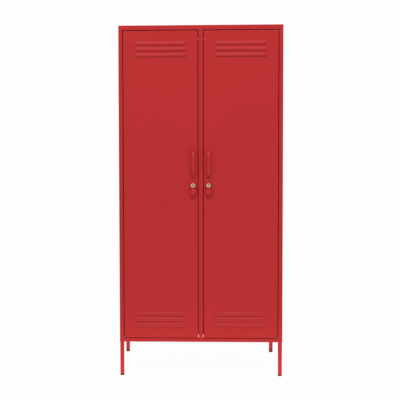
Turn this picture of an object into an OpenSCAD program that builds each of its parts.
// Two door wardrobe locker in folded sheet steel, standing on four slender square legs.
// Millimetres. X runs across the front, Z up, and the doors face -Y.
// The origin lies on the ground, under the middle of the whole locker with its handles.
// Inside the modules y is the depth behind the front face: negative is proud of the doors.
// Paired pieces are drawn for the right hand side and mirrored for the left.

/* [Cabinet] */
// Width over the side panels
body_w = 850; // [780:5:1000]
// Height from the ground to the top
body_h = 1830; // [1750:5:1950]
// Depth of the body from its front face to its back
body_d = 530; // [480:5:600]
// Height of the underside of the body above the ground
leg_h = 179; // [120:1:220]
// Thickness of the sheet steel
sheet_t = 1; // [0.8:0.1:1.2]
// Inside radius of the folds
fold_r = 1.5; // [0.8:0.1:2]

/* [Front frame] */
// Face width of the side stiles
stile_w = 21.2; // [18:0.2:30]
// Face height of the top rail
top_rail_h = 24.5; // [20:0.5:32]
// Face height of the bottom rail
bottom_rail_h = 19; // [19:0.5:26]
// Face width of the centre mullion
mullion_w = 24; // [22:0.5:36]
// Depth at which the doors' stops lie
stop_depth = 21; // [20.5:0.5:26]
// Depth of the stile's return, clear of the door's swinging corner
stile_depth = 28; // [27:0.5:34]
// How far the stops reach in from the frame
stop_w = 13; // [11:0.5:16]
// Width of the flanges at the back of the side panels
rear_flange_w = 15; // [12:1:22]
// Width of the flanges under the floor
base_flange_w = 25; // [23:1:32]

/* [Doors] */
// Gap beside each hinge edge
hinge_gap = 3; // [2.6:0.2:4]
// Gap between each latch edge and the mullion
latch_gap = 3.5; // [3.2:0.1:4.5]
// Gap over and under the doors
end_gap = 3; // [2.4:0.2:4]
// Thickness of the folded door
door_t = 18; // [17:0.5:20]
// Width of the door's back flanges
door_lip = 12; // [10:0.5:15]
// Distance of the pivot from the door's hinge edge
pivot_inset = 14; // [13:0.5:16]
// Depth of the pivot behind the door's face
pivot_depth = 8; // [7.5:0.25:8.5]
// Width of the stiffening channel in the door
stiffener_w = 60; // [50:2:100]
// Depth of the stiffening channel
stiffener_depth = 14; // [8:1:15]

/* [Louvres] */
// Number of louvres in each set
louvre_count = 3; // [1:1:5]
// Length of a louvre
louvre_l = 266; // [150:2:300]
// Height of a louvre's hood
louvre_h = 19; // [17:1:22]
// Distance from one louvre to the next
louvre_pitch = 30; // [27:0.5:40]
// How far a hood stands out from the door
louvre_reach = 5.5; // [3:0.5:7]
// Height of a hood's fullest point over its foot
louvre_bulge = 7; // [5:0.5:8]
// Length of a hood's rounded end
louvre_end = 9; // [4:1:20]
// Distance of the upper set from the door's upper end
louvre_top_inset = 55; // [45:1:90]
// Distance of the lower set from the door's lower end
louvre_low_inset = 58; // [45:0.5:90]

/* [Handles] */
// Overall height of a pull handle
handle_l = 138; // [110:2:180]
// Height of the handle's middle above the ground
handle_z = 1118; // [1090:1:1300]
// Width of the handle's bar
handle_w = 14; // [12:1:16]
// Thickness of the handle's bar
handle_t = 8; // [7.5:0.5:10]
// Corner radius of the bar's section
handle_r = 3.4; // [2:0.2:3.6]
// How far the handle stands out from the door
handle_reach = 32; // [32:1:40]
// Radius of the bends, at the middle of the bar
handle_bend = 26; // [14:1:26]
// Distance of the handle's middle from the latch edge
handle_inset = 24.5; // [22:0.5:34]

/* [Latches] */
// Height of the locks above the ground
latch_z = 1003; // [900:1:1020]
// Distance of a lock's axis from the latch edge
latch_inset = 24.5; // [24:0.5:30]
// Width of the back plate
plate_w = 32; // [32:1:40]
// Thickness of the back plate
plate_t = 2; // [1.5:0.1:3]
// Top of the back plate over the lock's axis
plate_up = 39; // [30:1:42]
// Bottom of the back plate under the lock's axis
plate_down = 40; // [30:1:46]
// Radius of the turn lever's hub
hub_r = 15.5; // [15:0.5:18]
// Height of the hub over the back plate
hub_t = 11.5; // [9:0.5:14]
// Radius of the thumb piece on the lever
thumb_r = 16; // [12:0.5:16]
// Height of the thumb piece over the back plate
thumb_t = 22; // [12:0.5:24]
// Distance from the lock's axis to the middle of the thumb piece
thumb_drop = 36; // [34:0.5:44]
// Radius of the lock barrel
barrel_r = 11; // [9:0.5:11.5]
// Radius of the key plug
plug_r = 6; // [5:0.5:7]
// Radius of the spindle
spindle_r = 7; // [6:0.5:7]
// Length of the cam from the axis to its middle at the tip
cam_l = 24; // [20:1:26]
// Thickness of the cam
cam_t = 3; // [2:0.5:4]

/* [Legs] */
// Side of a square leg
leg_side = 20; // [18:1:22]
// Wall of the leg's tube
leg_wall = 1.5; // [1.2:0.1:2]
// Distance of a leg from the body's faces
leg_inset = 1.5; // [1.5:0.1:3]
// Height of the glide under a leg
glide_h = 5; // [3:0.5:8]
// Radius of the stud that holds a leg
stud_r = 5; // [4:0.5:5]
// Thickness of the corner plates over the legs
corner_plate_t = 3; // [2:0.5:4]
// Side of the corner plates
corner_plate_side = 50; // [44:1:60]

/* [Inside] */
// Height between the top shelf and the locker's top
hat_space = 300; // [240:5:380]
// Height of the shelf's folded edge
shelf_edge = 22; // [18:1:30]
// Depth of the shelf
shelf_d = 450; // [380:5:460]
// Radius of the hanging rail
rail_r = 12.5; // [10:0.5:15]
// Wall of the hanging rail
rail_wall = 1.5; // [1:0.1:2]
// Distance of the hanging rail's middle under the shelf
rail_drop = 62; // [62:1:90]

/* [Back] */
// Distance between the two wall fixing holes
fixing_spacing = 600; // [400:10:700]
// Distance of the wall fixing holes from the top
fixing_drop = 70; // [50:5:120]
// Radius of the wall fixing holes
fixing_r = 4; // [3:0.25:5]
// Depth of the stiffening beads in the back panel
bead_depth = 4; // [2:0.5:6]
// Largest distance between rivets
rivet_pitch = 260; // [150:10:400]

/* [Clearances] */
// Gap round pieces that are fastened together
fit_gap = 0.15; // [0.1:0.05:0.3]
// Radial gap of a turning fit
turn_gap = 0.08; // [0.04:0.01:0.1]
// Gap between faces that slide past each other
slide_gap = 0.3; // [0.2:0.05:0.5]

/* [Hidden] */
$fn = 48;
left = -1;
right = 1;
over = 0.5;
fold_steps = 3;
curve_steps = 5;
hood_steps = 7;
paint = "firebrick";
zinc = "lightsteelblue";
black = "dimgray";
nylon = "whitesmoke";

// Rivets: a low dome outside and a blind bulb inside
rivet_r = 2;
rivet_head_r = 3.6;
rivet_head_h = 1.1;
rivet_bulb_r = 3;
rivet_bulb_h = 2.4;

// Stiffening channel: its distance from the nearest louvre and the width of its feet
stiffener_margin = 16;
stiffener_foot = 10;

// Screws of the pull handles
screw_r = 2;
screw_head_r = 3.8;
screw_head_h = 2.4;
screw_edge = 1;
screw_play = 1;
screw_bite = 7;

// Door pivots
pin_r = 3.5;
pin_head_r = 5.4;
pin_head_h = 3;
bush_wall = 1.5;
bush_flange_r = 7;
bush_reach = 7;

// Lock and latch details
barrel_proud = 0.7;
barrel_edge = 0.6;
plug_sunk = 1;
keyway_w = 1.8;
keyway_h = 8;
keyway_depth = 5;
hub_floor = 1.7;
latch_bush_r = 9.5;
latch_bush_flange_r = 13;
latch_bush_flange_t = 1.2;
bracket_t = 1.5;
bracket_w = 24;
bracket_h = 66;
bracket_foot = 12;
bracket_depth = 11;
bush_nut_across = 25;
bush_nut_t = 3.7;
thread_end = 1;
cam_hub_r = 10.5;
cam_tip_r = 8;
cam_gap = 1.2;
square_side = 9;
stub_r = 4;
cam_nut_across = 13;
cam_nut_t = 6.5;
neck_w = 24;
neck_t = 7;
hub_edge = 2.5;
thumb_edge = 7;

// Legs
leg_cap_t = 3;
leg_nut_across = 17;
leg_nut_t = 8;
stud_end = 2.5;
glide_plug = 15;
glide_edge = 1;

// Buffers and keepers in the latch gaps
buffer_h = 14;
buffer_low = 10;
buffer_high = 45;
upper_buffer_h = 7;
upper_buffer_back = 9;
buffer_gap = 0.6;
keeper_h = 10;
keeper_skin = 2;
keeper_pad = 1.2;
keeper_rise = 1.5;
nose_front = 0.5;
nose_r = 0.8;
nose_wrap = 60;
gap_pad_w = 11;

// Shelf, rail and partition
angle_w = 16;
angle_l = 420;
shelf_side_gap = 2;
socket_r = 22;
socket_t = 2.5;
socket_collar = 12;
socket_wall = 2;
socket_edge = 1;
partition_flange = 9;
bead_w = 26;
bead_slope = 8;
bead_end_gap = 110;

// Whole object: the handles stand out in front and the rivet heads behind
front_y = (handle_reach - body_d - rivet_head_h) / 2;

// Front frame
side_in = body_w / 2 - sheet_t;
stile_in = body_w / 2 - stile_w;
top_rail_z = body_h - top_rail_h;
bottom_rail_z = leg_h + bottom_rail_h;
floor_z = bottom_rail_z + stop_w;
top_stop_z = top_rail_z - stop_w;
mullion_out = mullion_w / 2;
back_in = body_d - 2 * sheet_t;

// Doors
door_in = mullion_out + latch_gap;
door_out = stile_in - hinge_gap;
door_low = bottom_rail_z + end_gap;
door_high = top_rail_z - end_gap;
door_mid = (door_in + door_out) / 2;
pivot_x = door_out - pivot_inset;
swing_r = norm([pivot_inset, door_t - pivot_depth]);
stop_end = pivot_x - swing_r;
fold_out_r = fold_r + sheet_t;
handle_x = door_in + handle_inset;
latch_x = door_in + latch_inset;
louvre_set_h = (louvre_count - 1) * louvre_pitch + louvre_h;
stiffener_low = door_low + louvre_low_inset + louvre_set_h + stiffener_margin;
stiffener_high = door_high - louvre_top_inset - louvre_set_h - stiffener_margin;

// Latch depths, from the plate on the door's face to the cam behind the stops
lever_back = -plate_t - latch_bush_flange_t - slide_gap;
hub_front = -plate_t - hub_t;
barrel_back = lever_back - hub_floor;
plug_back = barrel_back - slide_gap;
cam_front = stop_depth + sheet_t + cam_gap;
cam_back = cam_front + cam_t;

// Legs
leg_mid_x = body_w / 2 - leg_inset - leg_side / 2;
leg_mid_front = leg_inset + leg_side / 2;
leg_mid_rear = body_d - leg_inset - leg_side / 2;
plate_low = leg_h + sheet_t;
plate_high = plate_low + corner_plate_t;

// Shelf and rail
shelf_top = body_h - hat_space;
shelf_low = shelf_top - shelf_edge;
shelf_back = back_in - bead_depth - sheet_t - shelf_side_gap;
partition_x = sheet_t / 2;
rail_z = shelf_top - rail_drop;
rail_y = shelf_back - shelf_d / 2;

// Back panel
fixing_z = body_h - fixing_drop;

function unit(v) = v / norm(v);
function left_of(v) = [-v.y, v.x];
function turned(v, a) = [v.x * cos(a) - v.y * sin(a), v.x * sin(a) + v.y * cos(a)];
function backwards(list) = [for (i = [len(list) - 1:-1:0]) list[i]];

// One rounded corner of a folded sheet, at distance off to the left of its path
function fold_corner(a, v, b, off, t, r) =
    let (d1 = unit(v - a), d2 = unit(b - v), n1 = left_of(d1), n2 = left_of(d2),
        way = sign(cross(d1, d2)), turn = acos(d1 * d2),
        p = v + off * (n1 + n2) / (1 + n1 * n2),
        rho = r + (way > 0 ? t - off : off),
        c = p - d1 * rho * tan(turn / 2) + n1 * way * rho)
    [for (k = [0:fold_steps]) c + turned(-n1 * way * rho, way * turn * k / fold_steps)];

// One face of a folded sheet
function fold_face(path, off, t, r) =
    let (last = len(path) - 1)
    [for (i = [0:last]) each
        i == 0 ? [path[0] + off * left_of(unit(path[1] - path[0]))]
        : i == last ? [path[last] + off * left_of(unit(path[last] - path[last - 1]))]
        : fold_corner(path[i - 1], path[i], path[i + 1], off, t, r)];

// Section of a folded sheet whose outer face follows the path, with the metal on its left
module folded(path, t = sheet_t, r = fold_r) {
    polygon(concat(fold_face(path, 0, t, r), backwards(fold_face(path, t, t, r))));
}

// Quarter curve from angle a to b on an ellipse
function arc(c, rx, ry, a, b, n = curve_steps) =
    [for (k = [0:n]) c + [rx * cos(a + (b - a) * k / n), ry * sin(a + (b - a) * k / n)]];

// Rectangle with all corners rounded
function rounded(w, h, r) = concat(
    arc([w / 2 - r, h / 2 - r], r, r, 0, 90), arc([r - w / 2, h / 2 - r], r, r, 90, 180),
    arc([r - w / 2, r - h / 2], r, r, 180, 270), arc([w / 2 - r, r - h / 2], r, r, 270, 360));

// Outline round two circles: one at the origin and one at distance l along +y
function tapered_lobe(r1, r2, l, n = 12) =
    let (lean = asin((r1 - r2) / l))
    concat(arc([0, l], r2, r2, lean, 180 - lean, n), arc([0, 0], r1, r1, 180 - lean, 360 + lean, n));

module in_place() {
    translate([0, front_y, 0]) children();
}

module on_side(side) {
    if (side == left) mirror([1, 0, 0]) children();
    else children();
}

module block(low, high) {
    translate(low) cube(high - low);
}

// Extrusions of a flat outline: (y, z) along x, (x, z) along y, (x, y) along z
module along_x(a, b) {
    translate([a, 0, 0]) rotate([90, 0, 90]) linear_extrude(b - a) children();
}

module along_y(a, b) {
    translate([0, b, 0]) rotate([90, 0, 0]) linear_extrude(b - a) children();
}

module along_z(a, b) {
    translate([0, 0, a]) linear_extrude(b - a) children();
}

module rod_y(x, z, r, a, b) {
    translate([x, b, z]) rotate([90, 0, 0]) cylinder(h = b - a, r = r);
}

module rod_z(x, y, r, a, b) {
    translate([x, y, a]) cylinder(h = b - a, r = r);
}

// Hexagon nut along z
module nut(across, bore, h) {
    difference() {
        cylinder(h = h, r = across / 2 / cos(30), $fn = 6);
        translate([0, 0, -over]) cylinder(h = h + 2 * over, r = bore);
    }
}

// A body of revolution about the lock's axis: points are (radius, depth)
module turned_y(points) {
    translate([latch_x, 0, latch_z]) rotate([-90, 0, 0]) rotate_extrude() polygon(points);
}

// Places of the rivets, evenly spread between two ends
function spread(a, b) =
    let (n = max(1, ceil((b - a) / rivet_pitch)))
    [for (k = [0:n]) a + (b - a) * k / n];

rivet_margin = 60;
rivet_side_x = body_w / 2 - rear_flange_w / 2;
rivet_top_z = body_h - top_rail_h / 2;
rivet_base_z = leg_h + (floor_z - leg_h) / 2;
rivet_side_zs = spread(leg_h + rivet_margin, top_rail_z - rivet_margin);
rivet_row_xs = spread(rivet_margin - body_w / 2, body_w / 2 - rivet_margin);

// Children at every rivet, with z pointing out of the back
module at_rivets() {
    for (side = [left, right], z = rivet_side_zs)
        translate([side * rivet_side_x, body_d, z]) rotate([-90, 0, 0]) children();
    for (x = rivet_row_xs)
        translate([x, body_d, rivet_top_z]) rotate([-90, 0, 0]) children();
    for (x = rivet_row_xs)
        translate([x, back_in + sheet_t, rivet_base_z]) rotate([-90, 0, 0]) children();
}

module rivet_holes() {
    at_rivets() translate([0, 0, -4 * sheet_t]) cylinder(h = 5 * sheet_t, r = rivet_r + fit_gap);
}

// Side panel: stop, return, stile face, wall and rear flange in one folded sheet
module side_panel(side) {
    section = [[stile_in - stop_w, stile_depth], [stile_in, stile_depth], [stile_in, 0],
        [body_w / 2, 0], [body_w / 2, body_d], [body_w / 2 - rear_flange_w, body_d]];
    in_place() on_side(side) color(paint) difference() {
        along_z(leg_h, body_h - sheet_t) folded(section);
        block([stile_in - stop_w - over, -over, leg_h - over],
            [body_w / 2 + over, sheet_t, bottom_rail_z]);
        block([stile_in - stop_w - over, sheet_t - over, leg_h - over],
            [side_in, stile_depth + sheet_t + over, bottom_rail_z]);
        block([stile_in - stop_w - over, -over, top_rail_z],
            [body_w / 2 + over, sheet_t, body_h]);
        block([stile_in - stop_w - over, sheet_t - over, top_rail_z],
            [side_in, stile_depth + sheet_t + over, body_h]);
        block([stile_in - stop_w - over, body_d - sheet_t, top_rail_z],
            [body_w / 2 + over, body_d + over, body_h]);
        block([side_in - fold_r, body_d - fold_out_r, body_h - fold_out_r],
            [side_in, body_d - sheet_t, body_h]);
        rivet_holes();
    }
}

// Pressed bead, sunk into a sheet from its outer face at y = 0 towards -y
module bead(w, h, depth) {
    intersection() {
        along_z(0, h) polygon([[-w / 2, 0], [-w / 2 + bead_slope, -depth],
            [w / 2 - bead_slope, -depth], [w / 2, 0], [w / 2, over], [-w / 2, over]]);
        along_x(-w / 2, w / 2) polygon([[0, 0], [-depth, bead_slope],
            [-depth, h - bead_slope], [0, h], [over, h], [over, 0]]);
    }
}

module back_panel() {
    half_w = body_w / 2 - fold_out_r;
    bead_low = leg_h + bead_end_gap;
    bead_h = body_h - bead_end_gap - bead_low;
    bead_xs = [-body_w * 3 / 8, -body_w / 8, body_w / 8, body_w * 3 / 8];
    in_place() color(paint) difference() {
        union() {
            block([-half_w, back_in, leg_h], [half_w, back_in + sheet_t, body_h - fold_out_r]);
            for (x = bead_xs) translate([x, back_in + sheet_t / 2, bead_low])
                bead(bead_w, bead_h, bead_depth + sheet_t / 2);
        }
        for (x = bead_xs) translate([x, back_in + sheet_t, bead_low + sheet_t])
            bead(bead_w - 2 * sheet_t, bead_h - 2 * sheet_t, bead_depth);
        for (x = [-fixing_spacing / 2, fixing_spacing / 2])
            rod_y(x, fixing_z, fixing_r, back_in - over, back_in + sheet_t + over);
        rivet_holes();
    }
}

// Plan of the body with its four upright edges rounded
module body_plan() {
    translate([0, body_d / 2]) polygon(rounded(body_w, body_d, fold_out_r));
}

// Weld beads ground flush, where a rail's rounded edge meets the stiles and the mullion
module joint_fill(z) {
    along_z(z, z + fold_out_r) intersection() {
        union() {
            translate([0, mullion_out]) polygon(rounded(mullion_w, mullion_w, fold_out_r));
            for (side = [left, right])
                translate([side * (stile_in + body_w / 4), body_w / 4])
                    polygon(rounded(body_w / 2, body_w / 2, fold_out_r));
        }
        translate([-body_w / 2, 0]) square([body_w, sheet_t]);
    }
}

// Top: rear flange, sheet, rail face, return and stop in one folded sheet
module top_panel() {
    section = [[body_d, top_rail_z], [body_d, body_h], [0, body_h], [0, top_rail_z],
        [stop_depth, top_rail_z], [stop_depth, top_stop_z]];
    in_place() color(paint) difference() {
        intersection() {
            union() {
                along_x(-body_w / 2, body_w / 2) folded(section);
                joint_fill(top_rail_z);
            }
            along_z(top_stop_z - over, body_h + over) body_plan();
        }
        for (side = [left, right]) on_side(side) {
            block([side_in, sheet_t, top_rail_z - over],
                [body_w / 2 + over, body_d - sheet_t, body_h - sheet_t]);
            block([stop_end, stop_depth - fold_out_r, top_stop_z - over],
                [body_w / 2 + over, stop_depth + sheet_t + over, top_rail_z]);
        }
        for (side = [left, right])
            rod_z(side * pivot_x, pivot_depth, pin_r + fit_gap, top_rail_z - over,
                top_rail_z + sheet_t + over);
        rivet_holes();
    }
}

// Floor: base flanges, rear wall, sheet, stop, return and rail face in one folded sheet
module floor_panel() {
    section = [[back_in - base_flange_w, leg_h], [back_in, leg_h], [back_in, floor_z],
        [stop_depth, floor_z], [stop_depth, bottom_rail_z], [0, bottom_rail_z], [0, leg_h],
        [base_flange_w, leg_h]];
    in_place() color(paint) difference() {
        intersection() {
            union() {
                along_x(-body_w / 2, body_w / 2) folded(section);
                joint_fill(bottom_rail_z - fold_out_r);
            }
            along_z(leg_h - over, floor_z + over) body_plan();
        }
        for (side = [left, right]) on_side(side) {
            block([side_in, sheet_t, leg_h - over], [body_w / 2 + over, body_d, floor_z + over]);
            block([side_in - fold_r, body_d - fold_out_r, leg_h - over],
                [body_w / 2 + over, body_d, floor_z + over]);
            block([stop_end, stop_depth - fold_out_r, bottom_rail_z],
                [body_w / 2 + over, stile_depth + sheet_t, floor_z + over]);
            for (y = [leg_mid_front, leg_mid_rear])
                rod_z(leg_mid_x, y, stud_r + fit_gap, leg_h - over, plate_low + over);
            rod_z(pivot_x, pivot_depth, pin_r + fit_gap, bottom_rail_z - sheet_t - over,
                bottom_rail_z + over);
        }
        rivet_holes();
    }
}

// Front post between the doors: a folded hat whose brims are the doors' stops
module centre_mullion() {
    brim = mullion_out + stop_w;
    section = [[-brim, stop_depth], [-mullion_out, stop_depth], [-mullion_out, 0],
        [mullion_out, 0], [mullion_out, stop_depth], [brim, stop_depth]];
    in_place() color(paint) difference() {
        along_z(bottom_rail_z, top_rail_z) folded(section);
        for (span = [[bottom_rail_z - over, floor_z], [top_stop_z, top_rail_z + over]])
            block([-brim - over, stop_depth, span[0]],
                [brim + over, stop_depth + sheet_t + over, span[1]]);
        for (span = [[bottom_rail_z - over, bottom_rail_z + fold_r],
                [top_rail_z - fold_r, top_rail_z + over]])
            block([-brim - over, stop_depth - fold_r, span[0]],
                [brim + over, stop_depth + sheet_t + over, span[1]]);
    }
}

// Sheet that divides the two compartments, flanged to the mullion and the back
module centre_partition() {
    section = [[-partition_flange, sheet_t], [partition_x, sheet_t], [partition_x, back_in],
        [-partition_flange - sheet_t, back_in]];
    in_place() color(paint) difference() {
        along_z(floor_z, body_h - sheet_t) folded(section);
        block([-mullion_w, -over, top_stop_z],
            [mullion_w, stop_depth + sheet_t, body_h]);
        block([-mullion_w, body_d - fold_out_r, body_h - fold_out_r],
            [mullion_w, body_d, body_h]);
    }
}

// Plates that close the corners of the base and carry the legs
module corner_plates() {
    in_place() color(zinc) for (side = [left, right], rear = [false, true]) on_side(side) {
        y = rear ? leg_mid_rear : leg_mid_front;
        low_y = rear ? back_in - fold_out_r - corner_plate_side : fold_out_r;
        difference() {
            block([side_in - corner_plate_side, low_y, plate_low],
                [side_in, low_y + corner_plate_side, plate_high]);
            rod_z(leg_mid_x, y, stud_r + fit_gap, plate_low - over, plate_high + over);
        }
    }
}

module leg_nuts() {
    in_place() color(zinc) for (side = [left, right], y = [leg_mid_front, leg_mid_rear])
        translate([side * leg_mid_x, y, plate_high])
            nut(leg_nut_across, stud_r + fit_gap, leg_nut_t);
}

// Square plastic glide with a plug in the leg's tube
module leg_glides() {
    half = leg_side / 2;
    plug_side = leg_side - 2 * leg_wall - 2 * fit_gap;
    in_place() color(black) for (side = [left, right], y = [leg_mid_front, leg_mid_rear])
        translate([side * leg_mid_x, y, 0]) {
            intersection() {
                along_z(0, glide_h) polygon(rounded(leg_side, leg_side, fold_r));
                along_x(-half, half) polygon([[glide_edge - half, 0], [half - glide_edge, 0],
                    [half, glide_edge], [half, glide_h], [-half, glide_h], [-half, glide_edge]]);
            }
            along_z(glide_h, glide_h + glide_plug) square(plug_side, center = true);
        }
}

// Square tube closed by a cap with the stud that goes up through the base
module leg(side, y) {
    bore_side = leg_side - 2 * leg_wall;
    in_place() color(paint) translate([side * leg_mid_x, y, 0]) difference() {
        union() {
            along_z(glide_h, leg_h) polygon(rounded(leg_side, leg_side, fold_r));
            along_z(leg_h, plate_high + leg_nut_t + stud_end) circle(r = stud_r);
        }
        along_z(glide_h - over, leg_h - leg_cap_t) square(bore_side, center = true);
    }
}

// Shelf with its four edges folded down
module shelf(side) {
    low_x = partition_x + shelf_side_gap;
    high_x = side_in - shelf_side_gap;
    low_y = shelf_back - shelf_d;
    in_place() on_side(side) color(paint) difference() {
        intersection() {
            along_x(low_x, high_x) polygon(concat(
                arc([shelf_back - fold_out_r, shelf_top - fold_out_r], fold_out_r, fold_out_r, 0, 90),
                arc([low_y + fold_out_r, shelf_top - fold_out_r], fold_out_r, fold_out_r, 90, 180),
                [[low_y, shelf_low], [shelf_back, shelf_low]]));
            along_z(shelf_low - over, shelf_top + over)
                polygon([[low_x, low_y], [high_x, low_y], [high_x, shelf_back], [low_x, shelf_back]]);
        }
        block([low_x + sheet_t, low_y + sheet_t, shelf_low - over],
            [high_x - sheet_t, shelf_back - sheet_t, shelf_top - sheet_t]);
    }
}

// Angles welded to the walls, on which the shelves rest
module shelf_angles() {
    low_y = shelf_back - (shelf_d + angle_l) / 2;
    in_place() color(paint) for (side = [left, right]) on_side(side) {
        translate([0, low_y + angle_l, 0]) rotate([90, 0, 0]) linear_extrude(angle_l) {
            folded([[side_in, shelf_low - angle_w], [side_in, shelf_low],
                [side_in - angle_w, shelf_low]]);
            folded([[partition_x + angle_w, shelf_low], [partition_x, shelf_low],
                [partition_x, shelf_low - angle_w]]);
        }
    }
}

// Round tube across each compartment, for coat hangers
module hanging_rail(side) {
    in_place() on_side(side) color(zinc) along_x(partition_x + socket_t, side_in - socket_t)
        translate([rail_y, rail_z]) difference() {
            circle(r = rail_r);
            circle(r = rail_r - rail_wall);
        }
}

// Flanged cups that hold the rails' ends
module rail_sockets() {
    cup = [[0, 0], [socket_r, 0], [socket_r, socket_t - socket_edge],
        [socket_r - socket_edge, socket_t],
        [rail_r + fit_gap + socket_wall, socket_t], [rail_r + fit_gap + socket_wall, socket_collar],
        [rail_r + fit_gap, socket_collar], [rail_r + fit_gap, socket_t], [0, socket_t]];
    in_place() color(zinc) for (side = [left, right]) on_side(side) {
        translate([partition_x, rail_y, rail_z]) rotate([0, 90, 0]) rotate_extrude() polygon(cup);
        translate([side_in, rail_y, rail_z]) rotate([0, -90, 0]) rotate_extrude() polygon(cup);
    }
}

// Outline of the corner between the mullion's side and its stop, clear of the fold
stop_corner = [[mullion_out + fold_r, stop_depth], [mullion_out, stop_depth - fold_r]];

// Angle in a latch gap: a pad on the stop, a skin on the mullion's side and a nose that
// lies on the mullion's rounded edge
module gap_angle(z, h, skin_t, pad_t) {
    skin_x = mullion_out + skin_t;
    along_z(z - h / 2, z + h / 2) polygon(concat(stop_corner,
        arc([mullion_out - fold_out_r, fold_out_r], fold_out_r, -fold_out_r, 0, nose_wrap,
            fold_steps * nose_wrap / 90),
        [[skin_x - nose_r, nose_front], [skin_x, nose_front + nose_r],
        [skin_x, stop_depth - pad_t], [mullion_out + gap_pad_w, stop_depth - pad_t],
        [mullion_out + gap_pad_w, stop_depth]]));
}

// Soft buffers that the doors close against
module door_buffers() {
    skin_x = mullion_out + latch_gap - buffer_gap;
    pad_t = stop_depth - door_t - slide_gap;
    in_place() color(nylon) for (side = [left, right]) on_side(side) {
        gap_angle(door_low + buffer_low, buffer_h, latch_gap - buffer_gap, pad_t);
        along_z(door_high - buffer_high - upper_buffer_h / 2,
            door_high - buffer_high + upper_buffer_h / 2) polygon(concat(stop_corner,
            [[mullion_out, upper_buffer_back], [skin_x, upper_buffer_back],
            [skin_x, stop_depth - pad_t], [mullion_out + gap_pad_w, stop_depth - pad_t],
            [mullion_out + gap_pad_w, stop_depth]]));
    }
}

// Small steel angles on the mullion at the height of the locks
module latch_keepers() {
    in_place() color(paint) for (side = [left, right]) on_side(side)
        gap_angle(latch_z + keeper_rise, keeper_h, keeper_skin, keeper_pad);
}

// One headed pin, drawn upwards from the rail's hidden face
module pivot_pin() {
    translate([0, 0, -pin_head_h]) cylinder(h = pin_head_h, r = pin_head_r);
    cylinder(h = sheet_t + end_gap + bush_reach, r = pin_r);
}

module pivot_pins() {
    in_place() color(zinc) for (side = [left, right]) {
        translate([side * pivot_x, pivot_depth, bottom_rail_z - sheet_t]) pivot_pin();
        translate([side * pivot_x, pivot_depth, top_rail_z + sheet_t])
            mirror([0, 0, 1]) pivot_pin();
    }
}

// Rivets that hold the back panel to the sides, the top and the floor
module panel_rivets() {
    bulb_low = -2 * sheet_t - rivet_bulb_h;
    in_place() color(paint) {
        for (side = [left, right], z = rivet_side_zs)
            translate([side * rivet_side_x, body_d, z]) rotate([-90, 0, 0]) rivet(bulb_low);
        for (x = rivet_row_xs) {
            translate([x, body_d, rivet_top_z]) rotate([-90, 0, 0]) rivet(bulb_low);
            translate([x, back_in + sheet_t, rivet_base_z]) rotate([-90, 0, 0]) rivet(bulb_low);
        }
    }
}

module rivet(low) {
    rotate_extrude() polygon(concat([[0, low], [rivet_bulb_r, low], [rivet_bulb_r, -2 * sheet_t],
        [rivet_r, -2 * sheet_t], [rivet_r, 0]],
        arc([0, 0], rivet_head_r, rivet_head_h, 0, 90)));
}

// Outline of a louvre's hood: its section, an arc about a point at depth c and height
// louvre_bulge, and its plan with rounded ends
function hood_section(c, r, back, low) =
    let (first = -asin(louvre_bulge / r), last = acos(c / r),
        rim = [for (k = [0:hood_steps])
            let (a = first + (last - first) * k / hood_steps)
            [c - r * cos(a), louvre_bulge + r * sin(a)]])
    concat([[back, low], [rim[0].x, low]], rim, [[back, rim[hood_steps].y]]);

function hood_plan(l, reach, end, back) = concat([[-l / 2, back]],
    arc([-l / 2 + end, 0], end, -reach, 180, 90), arc([l / 2 - end, 0], end, -reach, 90, 0),
    [[l / 2, back]]);

// Hood of one louvre, or with wall > 0 the space inside it
module hood(wall, back, low) {
    rise = louvre_h - louvre_bulge;
    radius = (rise * rise + louvre_reach * louvre_reach) / 2 / louvre_reach;
    reach = louvre_reach - wall;
    intersection() {
        along_x(-louvre_l / 2, louvre_l / 2)
            polygon(hood_section(radius - louvre_reach, radius - wall, back, low));
        along_z(low - over, louvre_h + over)
            polygon(hood_plan(louvre_l - 2 * wall, reach, louvre_end, back));
    }
}

// Children at the foot of every louvre of a door
module at_louvres() {
    for (k = [0:louvre_count - 1]) {
        translate([door_mid, 0, door_low + louvre_low_inset + k * louvre_pitch]) children();
        translate([door_mid, 0, door_high - louvre_top_inset - louvre_h - k * louvre_pitch])
            children();
    }
}

// Pan between two depths with its front edges rounded
module pan(inset, front, rear, r) {
    x0 = door_in + inset;
    x1 = door_out - inset;
    z0 = door_low + inset;
    z1 = door_high - inset;
    intersection() {
        along_z(z0, z1) polygon(concat([[x0, rear]], arc([x0 + r, front + r], r, r, 180, 270),
            arc([x1 - r, front + r], r, r, 270, 360), [[x1, rear]]));
        along_x(x0, x1) polygon(concat([[rear, z1]], arc([front + r, z1 - r], r, r, 90, 180),
            arc([front + r, z0 + r], r, r, 180, 270), [[rear, z0]]));
    }
}

// Door shell: a pan with inward back flanges, louvres, and holes for its fittings
module door(side) {
    in_place() on_side(side) color(paint) difference() {
        union() {
            pan(0, 0, door_t, fold_out_r);
            at_louvres() hood(0, sheet_t / 2, 0);
        }
        pan(sheet_t, sheet_t, door_t - sheet_t, fold_r);
        block([door_in + door_lip, door_t - sheet_t - over, door_low + door_lip],
            [door_out - door_lip, door_t + over, door_high - door_lip]);
        at_louvres() hood(sheet_t, sheet_t + over, -over);
        rod_y(latch_x, latch_z, latch_bush_r + fit_gap, -over, sheet_t + over);
        for (z = [handle_z - handle_l / 2 + handle_t / 2, handle_z + handle_l / 2 - handle_t / 2])
            rod_y(handle_x, z, screw_r + fit_gap, -over, sheet_t + over);
        for (z = [door_low, door_high - sheet_t])
            rod_z(pivot_x, pivot_depth, pin_r + turn_gap + bush_wall + fit_gap,
                z - over, z + sheet_t + over);
    }
}

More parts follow.
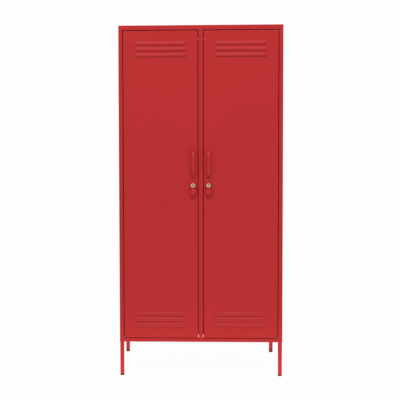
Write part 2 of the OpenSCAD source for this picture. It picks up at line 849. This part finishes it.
// Hat channel welded inside the door between the louvre sets
module door_stiffener(side) {
    half = stiffener_w / 2;
    section = [[door_mid - half, sheet_t], [door_mid - half + stiffener_foot, sheet_t],
        [door_mid - half + stiffener_foot, stiffener_depth],
        [door_mid + half - stiffener_foot, stiffener_depth],
        [door_mid + half - stiffener_foot, sheet_t], [door_mid + half, sheet_t]];
    in_place() on_side(side) color(paint)
        along_z(stiffener_low, stiffener_high) folded(section);
}

// Flanged bush pressed into an end of the door, drawn upwards from the door's end
module pivot_bush() {
    bore = pin_r + turn_gap;
    rotate_extrude() polygon([[bore, slide_gap - end_gap], [bush_flange_r, slide_gap - end_gap],
        [bush_flange_r, 0], [bore + bush_wall, 0], [bore + bush_wall, bush_reach], [bore, bush_reach]]);
}

module pivot_bushes(side) {
    in_place() color(black) {
        translate([side * pivot_x, pivot_depth, door_low]) pivot_bush();
        translate([side * pivot_x, pivot_depth, door_high]) mirror([0, 0, 1]) pivot_bush();
    }
}

// Upper half of the bow, from its middle to the foot on the door
module half_bow() {
    mid = handle_t / 2 - handle_reach;
    bend_z = handle_l / 2 - handle_t / 2 - handle_bend;
    along_z(0, bend_z) translate([0, mid]) polygon(rounded(handle_w, handle_t, handle_r));
    translate([0, mid + handle_bend, bend_z]) rotate([90, 0, -90])
        rotate_extrude(angle = 90) translate([handle_bend, 0])
            polygon(rounded(handle_t, handle_w, handle_r));
    along_y(mid + handle_bend, 0) translate([0, bend_z + handle_bend])
        polygon(rounded(handle_w, handle_t, handle_r));
}

// Fixed bow handle, tapped in its feet
module pull_handle(side) {
    in_place() on_side(side) color(paint) translate([handle_x, 0, handle_z]) difference() {
        union() {
            half_bow();
            mirror([0, 0, 1]) half_bow();
        }
        for (z = [handle_t / 2 - handle_l / 2, handle_l / 2 - handle_t / 2])
            rod_y(0, z, screw_r + fit_gap, -screw_bite - screw_play, over);
    }
}

module handle_screws(side) {
    in_place() on_side(side) color(zinc)
        for (z = [handle_z - handle_l / 2 + handle_t / 2, handle_z + handle_l / 2 - handle_t / 2])
            translate([handle_x, sheet_t, z]) rotate([-90, 0, 0]) rotate_extrude()
                polygon(concat([[0, -sheet_t - screw_bite], [screw_r, -sheet_t - screw_bite],
                    [screw_r, 0], [screw_head_r, 0]],
                    arc([screw_head_r - screw_edge, screw_head_h - screw_edge],
                        screw_edge, screw_edge, 0, 90),
                    [[0, screw_head_h]]));
}

// Thin plate with round ends behind the lever
module latch_plate(side) {
    r = plate_w / 2;
    in_place() on_side(side) color(paint) difference() {
        translate([latch_x, 0, latch_z]) along_y(-plate_t, 0) polygon(concat(
            arc([0, plate_up - r], r, r, 0, 180, 16), arc([0, r - plate_down], r, r, 180, 360, 16)));
        rod_y(latch_x, latch_z, latch_bush_r + fit_gap, -plate_t - over, over);
    }
}

// Hat bracket inside the door that steadies the latch bush
module latch_bracket(side) {
    half = bracket_h / 2;
    section = [[sheet_t, half], [sheet_t, half - bracket_foot], [bracket_depth, half - bracket_foot],
        [bracket_depth, bracket_foot - half], [sheet_t, bracket_foot - half], [sheet_t, -half]];
    in_place() on_side(side) color(zinc) difference() {
        translate([latch_x, 0, latch_z]) along_x(-bracket_w / 2, bracket_w / 2)
            folded(section, bracket_t);
        rod_y(latch_x, latch_z, latch_bush_r + fit_gap, bracket_depth - over,
            bracket_depth + bracket_t + over);
    }
}

// Flanged bush through the plate, the door and the bracket
module latch_bush(side) {
    bore = spindle_r + turn_gap;
    in_place() on_side(side) color(zinc) turned_y([
        [bore, -plate_t - latch_bush_flange_t], [latch_bush_flange_r, -plate_t - latch_bush_flange_t],
        [latch_bush_flange_r, -plate_t], [latch_bush_r, -plate_t],
        [latch_bush_r, bracket_depth + bracket_t + bush_nut_t + thread_end],
        [bore, bracket_depth + bracket_t + bush_nut_t + thread_end]]);
}

module bush_nut(side) {
    in_place() on_side(side) color(zinc)
        translate([latch_x, bracket_depth + bracket_t, latch_z]) rotate([-90, 0, 0])
            nut(bush_nut_across, latch_bush_r + fit_gap, bush_nut_t);
}

// Cast lever: hub round the lock, neck and rounded thumb piece, hanging at rest
module turn_lever(side) {
    thumb_front = -plate_t - thumb_t;
    in_place() on_side(side) color(paint) difference() {
        union() {
            turned_y(concat([[0, lever_back], [hub_r, lever_back]],
                arc([hub_r - hub_edge, hub_front + hub_edge], hub_edge, -hub_edge, 0, 90),
                [[0, hub_front]]));
            translate([0, 0, -thumb_drop]) turned_y(concat([[0, lever_back], [thumb_r, lever_back]],
                arc([thumb_r - thumb_edge, thumb_front + thumb_edge], thumb_edge, -thumb_edge, 0, 90),
                [[0, thumb_front]]));
            block([latch_x - neck_w / 2, lever_back - neck_t, latch_z - thumb_drop],
                [latch_x + neck_w / 2, lever_back, latch_z]);
        }
        rod_y(latch_x, latch_z, barrel_r + fit_gap, hub_front - over, barrel_back);
        rod_y(latch_x, latch_z, spindle_r + fit_gap / 2, barrel_back - over, lever_back + over);
    }
}

// Fixed ring of the lock, chamfered at its face
module lock_barrel(side) {
    bore = plug_r + turn_gap;
    face = hub_front - barrel_proud;
    in_place() on_side(side) color(zinc) turned_y([[bore, barrel_back], [barrel_r, barrel_back],
        [barrel_r, face + barrel_edge], [barrel_r - barrel_edge, face],
        [bore + barrel_edge, face], [bore, face + barrel_edge]]);
}

// Key plug that turns in the barrel
module lock_plug(side) {
    face = hub_front - barrel_proud + plug_sunk;
    in_place() on_side(side) color(zinc) difference() {
        rod_y(latch_x, latch_z, plug_r, face, plug_back);
        block([latch_x - keyway_w / 2, face - over, latch_z - keyway_h / 2],
            [latch_x + keyway_w / 2, face + keyway_depth, latch_z + keyway_h / 2]);
    }
}

// Spindle: round in the bush, square in the cam and threaded at its end
module spindle(side) {
    half = square_side / 2;
    in_place() on_side(side) color(zinc) {
        rod_y(latch_x, latch_z, spindle_r, barrel_back, cam_front);
        block([latch_x - half, cam_front, latch_z - half], [latch_x + half, cam_back, latch_z + half]);
        rod_y(latch_x, latch_z, stub_r, cam_back, cam_back + cam_nut_t + thread_end);
    }
}

// Cam that swings behind the mullion's stop
module latch_cam(side) {
    half = square_side / 2 + fit_gap;
    in_place() on_side(side) color(zinc) translate([latch_x, 0, latch_z]) difference() {
        along_y(cam_front, cam_back) polygon(tapered_lobe(cam_hub_r, cam_tip_r, cam_l));
        block([-half, cam_front - over, -half], [half, cam_back + over, half]);
    }
}

module cam_nut(side) {
    in_place() on_side(side) color(zinc) translate([latch_x, cam_back, latch_z])
        rotate([-90, 0, 0]) nut(cam_nut_across, stub_r + fit_gap, cam_nut_t);
}

side_panel(left);  // left_side_panel
side_panel(right);  // right_side_panel
back_panel();
top_panel();
floor_panel();
centre_mullion();
centre_partition();
corner_plates();
leg_nuts();
leg_glides();
leg(left, leg_mid_front);  // front_left_leg
leg(right, leg_mid_front);  // front_right_leg
leg(left, leg_mid_rear);  // rear_left_leg
leg(right, leg_mid_rear);  // rear_right_leg
shelf(left);  // left_shelf
shelf(right);  // right_shelf
shelf_angles();
hanging_rail(left);  // left_hanging_rail
hanging_rail(right);  // right_hanging_rail
rail_sockets();
door_buffers();
latch_keepers();
pivot_pins();
panel_rivets();
door(left);  // left_door
door(right);  // right_door
door_stiffener(left);  // left_door_stiffener
door_stiffener(right);  // right_door_stiffener
pivot_bushes(left);  // left_pivot_bushes
pivot_bushes(right);  // right_pivot_bushes
pull_handle(left);  // left_pull_handle
pull_handle(right);  // right_pull_handle
handle_screws(left);  // left_handle_screws
handle_screws(right);  // right_handle_screws
latch_plate(left);  // left_latch_plate
latch_plate(right);  // right_latch_plate
latch_bracket(left);  // left_latch_bracket
latch_bracket(right);  // right_latch_bracket
latch_bush(left);  // left_latch_bush
latch_bush(right);  // right_latch_bush
bush_nut(left);  // left_bush_nut
bush_nut(right);  // right_bush_nut
turn_lever(left);  // left_turn_lever
turn_lever(right);  // right_turn_lever
lock_barrel(left);  // left_lock_barrel
lock_barrel(right);  // right_lock_barrel
lock_plug(left);  // left_lock_plug
lock_plug(right);  // right_lock_plug
spindle(left);  // left_spindle
spindle(right);  // right_spindle
latch_cam(left);  // left_latch_cam
latch_cam(right);  // right_latch_cam
cam_nut(left);  // left_cam_nut
cam_nut(right);  // right_cam_nut
